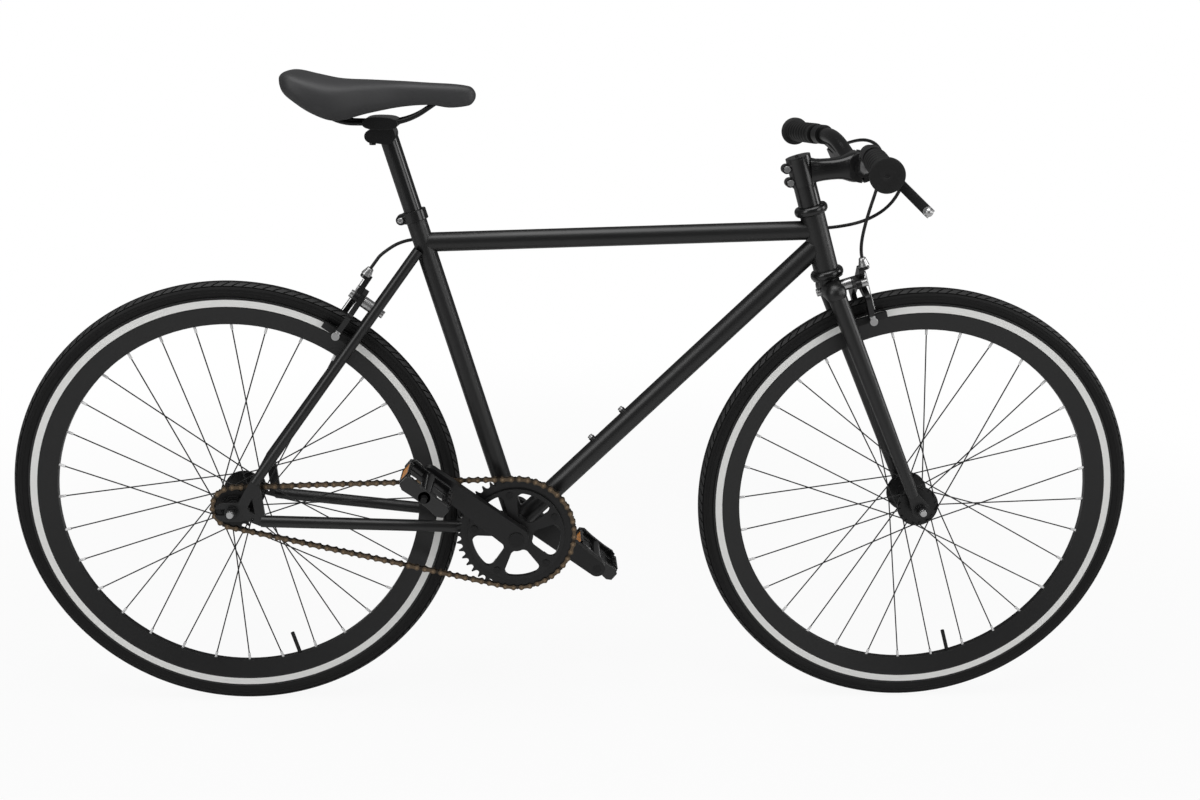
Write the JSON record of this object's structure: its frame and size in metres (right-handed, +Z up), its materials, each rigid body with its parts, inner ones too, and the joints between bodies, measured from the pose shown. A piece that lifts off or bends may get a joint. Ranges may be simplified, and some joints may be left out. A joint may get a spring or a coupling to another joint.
{
  "type": "fixed gear bike",
  "caption": "Fixed gear bicycle with diamond frame, riser handlebar, deep-section wheels, single-speed chain drive, rim brakes, platform pedals and padded saddle.",
  "frame": {"origin": "on the ground, midway between the wheel axles, in the plane of the frame", "axes": "+X forward, +Y to the rider's left, +Z up"},
  "size_m": [1.73, 0.6434, 0.9853],
  "materials": {
    "frame_paint": "satin black paint",
    "black_alloy": "black anodised, slightly glossy",
    "rim_alloy": "black anodised with a bright machined brake track",
    "tyre_rubber": "matte black rubber",
    "tube_rubber": "smooth black rubber",
    "black_steel": "black oxide",
    "bright_steel": "bright zinc plate",
    "chain_steel": "bronze brown steel",
    "brake_alloy": "black paint",
    "pedal_plastic": "gloss black",
    "grip_rubber": "matte black rubber",
    "cable_casing": "satin black",
    "saddle_cover": "dark grey, fine grain",
    "saddle_shell": "matte black"
  },
  "bodies": {
    "frame": {"head_tube": "frame_paint", "top_tube": "frame_paint", "down_tube": "frame_paint", "seat_tube": "frame_paint", "bottom_bracket_shell": "frame_paint", "chainstays": "frame_paint", "seatstays": "frame_paint", "rear_dropouts": "frame_paint", "bottle_cage_bolts": "bright_steel", "headset_cups": "black_alloy", "seat_clamp": "black_alloy", "rear_axle": "black_steel", "bottom_bracket_cups": "bright_steel", "chain": "chain_steel", "rear_brake_bolt": "bright_steel", "rear_brake_cable": "cable_casing"},
    "steering": {"fork_steerer": "frame_paint", "fork_blades": "frame_paint", "headset_spacer": "black_alloy", "headset_top_cap": "black_alloy", "stem": "black_alloy", "stem_faceplate": "black_alloy", "handlebar": "black_alloy", "grips": "grip_rubber", "lever_perches": "brake_alloy", "front_axle": "black_steel", "front_brake_bolt": "bright_steel", "front_brake_cable": "cable_casing", "rear_brake_cable_loop": "cable_casing"},
    "front_wheel": {"front_tyre": "tyre_rubber", "front_inner_tube": "tube_rubber", "front_rim": "rim_alloy", "front_spokes": "black_steel", "front_hub": "black_alloy"},
    "rear_wheel": {"rear_tyre": "tyre_rubber", "rear_inner_tube": "tube_rubber", "rear_rim": "rim_alloy", "rear_spokes": "black_steel", "rear_hub": "black_alloy", "rear_sprocket": "black_steel"},
    "crank": {"crank_spindle": "bright_steel", "crank_arm_right": "black_alloy", "crank_arm_left": "black_alloy", "chainring": "black_alloy", "crank_bolts": "black_steel", "pedal_axles": "black_steel"},
    "pedal_right": {"pedal_right": "pedal_plastic"},
    "pedal_left": {"pedal_left": "pedal_plastic"},
    "seat": {"seatpost": "black_alloy", "saddle_clamp": "black_alloy", "saddle_rails": "black_steel", "saddle_base": "saddle_shell", "saddle_padding": "saddle_cover"},
    "lever_right": {"brake_lever_right": "brake_alloy"},
    "lever_left": {"brake_lever_left": "brake_alloy"},
    "front_brake_arm_right": {"front_brake_arm_right": "brake_alloy"},
    "front_brake_arm_left": {"front_brake_arm_left": "brake_alloy"},
    "rear_brake_arm_right": {"rear_brake_arm_right": "brake_alloy"},
    "rear_brake_arm_left": {"rear_brake_arm_left": "brake_alloy"}
  },
  "joints": [
    {"name": "steering_turn", "type": "hinge", "parent": "frame", "child": "steering", "pos_m": [0.48351, 0, 0.32692], "axis": [-0.3007, 0, 0.9537], "range_deg": [-70, 70], "deforming": ["rear_brake_cable_loop"]},
    {"name": "front_wheel_spin", "type": "hinge", "parent": "steering", "child": "front_wheel", "pos_m": [0.525, 0, 0.34], "axis": [0, 1, 0], "continuous": true},
    {"name": "rear_wheel_spin", "type": "hinge", "parent": "frame", "child": "rear_wheel", "pos_m": [-0.525, 0, 0.34], "axis": [0, 1, 0], "continuous": true, "deforming": ["chain"]},
    {"name": "crank_spin", "type": "hinge", "parent": "frame", "child": "crank", "pos_m": [-0.09901, 0, 0.298], "axis": [0, 1, 0], "continuous": true, "deforming": ["chain"]},
    {"name": "pedal_right_spin", "type": "hinge", "parent": "crank", "child": "pedal_right", "pos_m": [-0.22903, -0.055, 0.39958], "axis": [0, 1, 0], "continuous": true},
    {"name": "pedal_left_spin", "type": "hinge", "parent": "crank", "child": "pedal_left", "pos_m": [0.03101, 0.055, 0.19642], "axis": [0, 1, 0], "continuous": true},
    {"name": "seat_height", "type": "slide", "parent": "frame", "child": "seat", "axis": [-0.2974, 0, 0.9548], "range_m": [-0.06, 0.08]},
    {"name": "brake_lever_right_pull", "type": "hinge", "parent": "steering", "child": "lever_right", "pos_m": [0.40427, -0.17165, 0.87051], "axis": [-0.6388, 0.1114, -0.7613], "range_deg": [0, 22], "stiffness_Nm_per_rad": 1.5, "springref_deg": -17.19, "deforming": ["rear_brake_cable"]},
    {"name": "brake_lever_left_pull", "type": "hinge", "parent": "steering", "child": "lever_left", "pos_m": [0.40427, 0.17165, 0.87051], "axis": [0.6388, 0.1114, 0.7613], "range_deg": [0, 22], "stiffness_Nm_per_rad": 1.5, "springref_deg": -17.19, "deforming": ["front_brake_cable"]},
    {"name": "front_brake_arm_right_swing", "type": "hinge", "parent": "steering", "child": "front_brake_arm_right", "pos_m": [0.38871, 0, 0.68079], "axis": [0.9537, 0, 0.3007], "range_deg": [0, 1.7], "deforming": ["front_brake_cable"]},
    {"name": "front_brake_arm_left_swing", "type": "hinge", "parent": "steering", "child": "front_brake_arm_left", "pos_m": [0.38871, 0, 0.68079], "axis": [0.9537, 0, 0.3007], "range_deg": [-1.7, 0], "deforming": ["front_brake_cable"]},
    {"name": "rear_brake_arm_left_swing", "type": "hinge", "parent": "frame", "child": "rear_brake_arm_left", "pos_m": [-0.31503, 0, 0.64103], "axis": [-0.8131, 0, 0.5821], "range_deg": [0, 1.7], "deforming": ["rear_brake_cable"]},
    {"name": "rear_brake_arm_right_swing", "type": "hinge", "parent": "frame", "child": "rear_brake_arm_right", "pos_m": [-0.31503, 0, 0.64103], "axis": [-0.8131, 0, 0.5821], "range_deg": [-1.7, 0], "deforming": ["rear_brake_cable"]}
  ],
  "couplings": [
    {"joint": "crank_spin", "follows": "rear_wheel_spin", "ratio": 0.36364},
    {"joint": "front_brake_arm_right_swing", "follows": "brake_lever_left_pull", "ratio": 0.077273},
    {"joint": "front_brake_arm_left_swing", "follows": "brake_lever_left_pull", "ratio": -0.077273},
    {"joint": "rear_brake_arm_left_swing", "follows": "brake_lever_right_pull", "ratio": 0.077273},
    {"joint": "rear_brake_arm_right_swing", "follows": "brake_lever_right_pull", "ratio": -0.077273}
  ]
}
